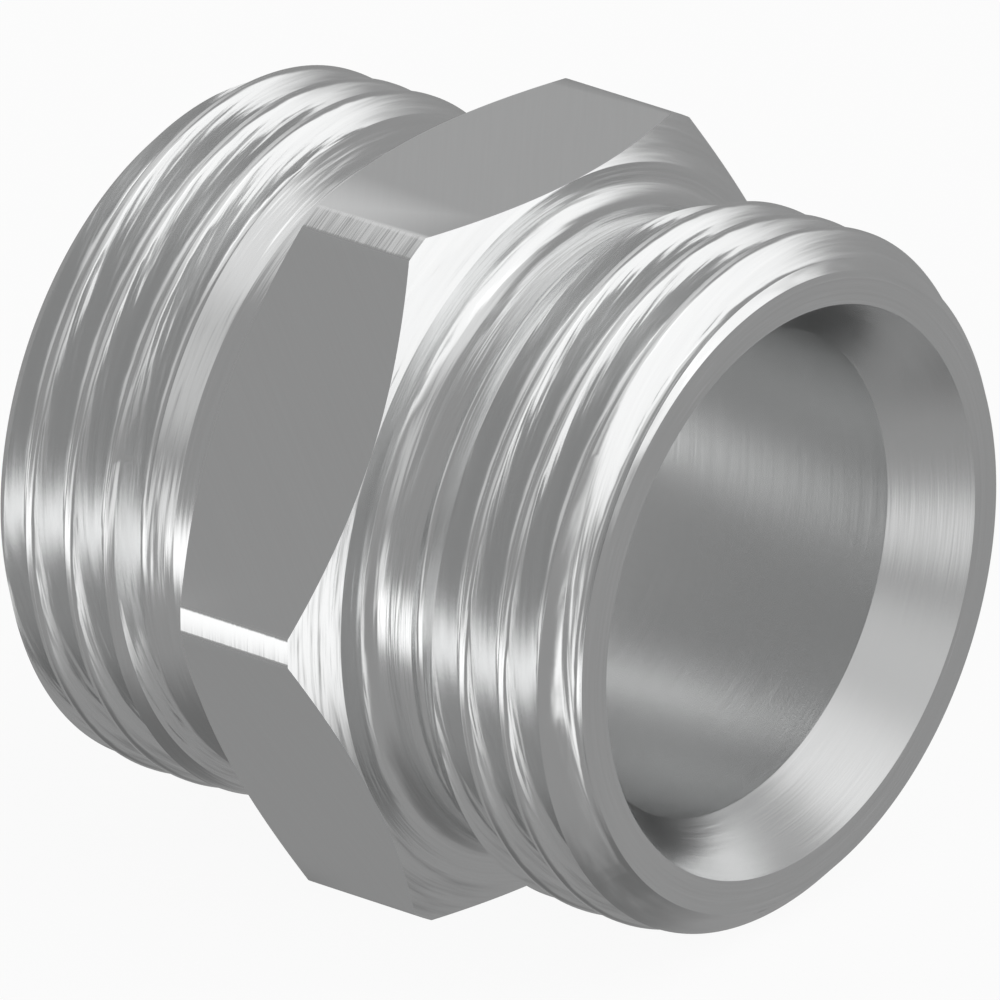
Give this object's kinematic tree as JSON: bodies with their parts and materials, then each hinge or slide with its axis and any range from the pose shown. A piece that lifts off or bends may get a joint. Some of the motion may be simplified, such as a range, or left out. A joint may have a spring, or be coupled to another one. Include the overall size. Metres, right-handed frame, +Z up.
{
  "type": "pipe thread adapter nipple",
  "caption": "Double-ended nickel-plated nipple: outside pipe thread with a conical seat in each mouth, a spanner hexagon between them and a through bore.",
  "frame": {"origin": "on the bore axis at the middle of the hexagon", "axes": "+X along the bore axis towards the front mouth, +Z up from the hexagon flat that it rests on"},
  "size_m": [0.027, 0.0306, 0.027],
  "materials": {
    "nickel_plated_brass": "satin nickel plate with fine turning marks"
  },
  "bodies": {
    "root": {"adapter_body": "nickel_plated_brass"}
  },
  "joints": []
}
